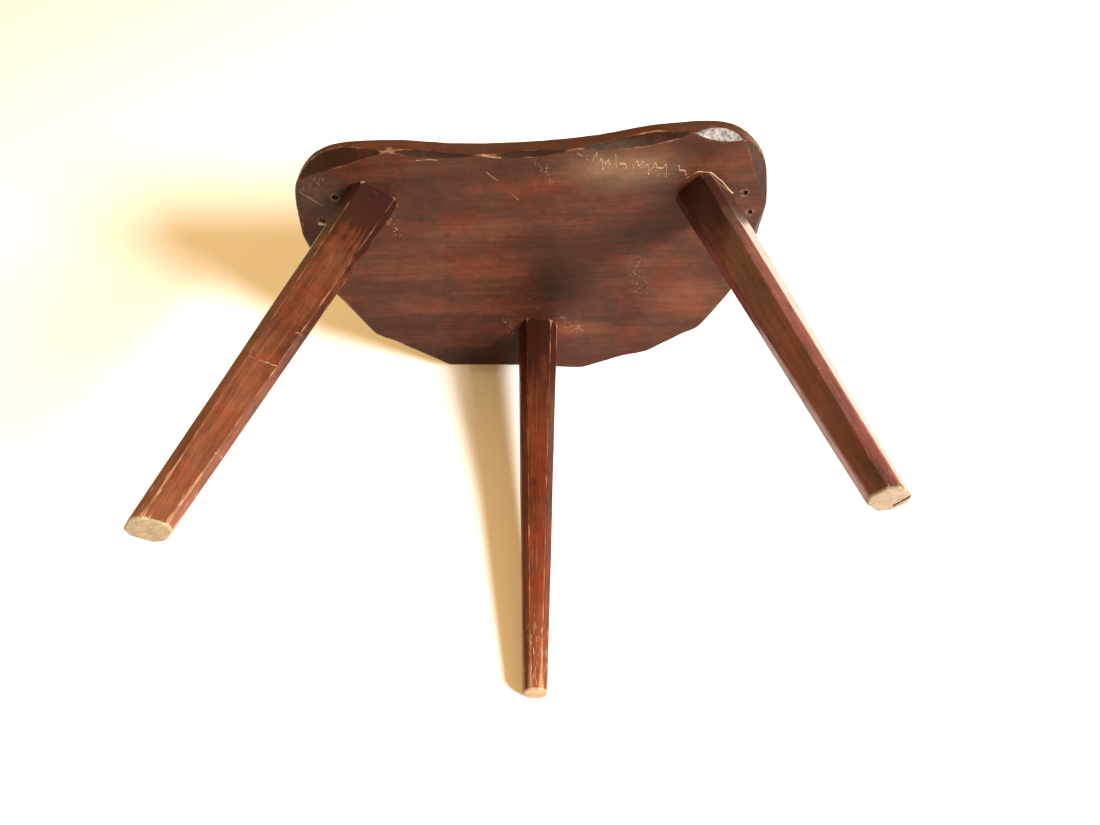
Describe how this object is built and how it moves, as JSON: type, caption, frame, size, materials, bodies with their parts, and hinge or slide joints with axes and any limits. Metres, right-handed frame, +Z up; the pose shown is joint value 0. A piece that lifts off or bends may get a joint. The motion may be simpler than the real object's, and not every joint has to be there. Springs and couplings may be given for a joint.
{
  "type": "three leg stool",
  "caption": "Low plank stool on splayed, tapered octagonal legs with wedged through tenons and a gouged underside edge.",
  "frame": {"origin": "middle of the stool's footprint box on the floor", "axes": "+X along the seat's long side, +Y towards the rounded front edge and the front leg, +Z up"},
  "size_m": [0.3748, 0.2494, 0.321],
  "materials": {
    "seat_wood": "satin varnish",
    "leg_wood": "worn satin varnish",
    "wedge_wood": "worn matte"
  },
  "bodies": {
    "root": {"seat": "seat_wood", "leg_left": "leg_wood", "leg_right": "leg_wood", "leg_front": "leg_wood", "wedge_left": "wedge_wood", "wedge_right": "wedge_wood", "wedge_front": "wedge_wood"}
  },
  "joints": []
}
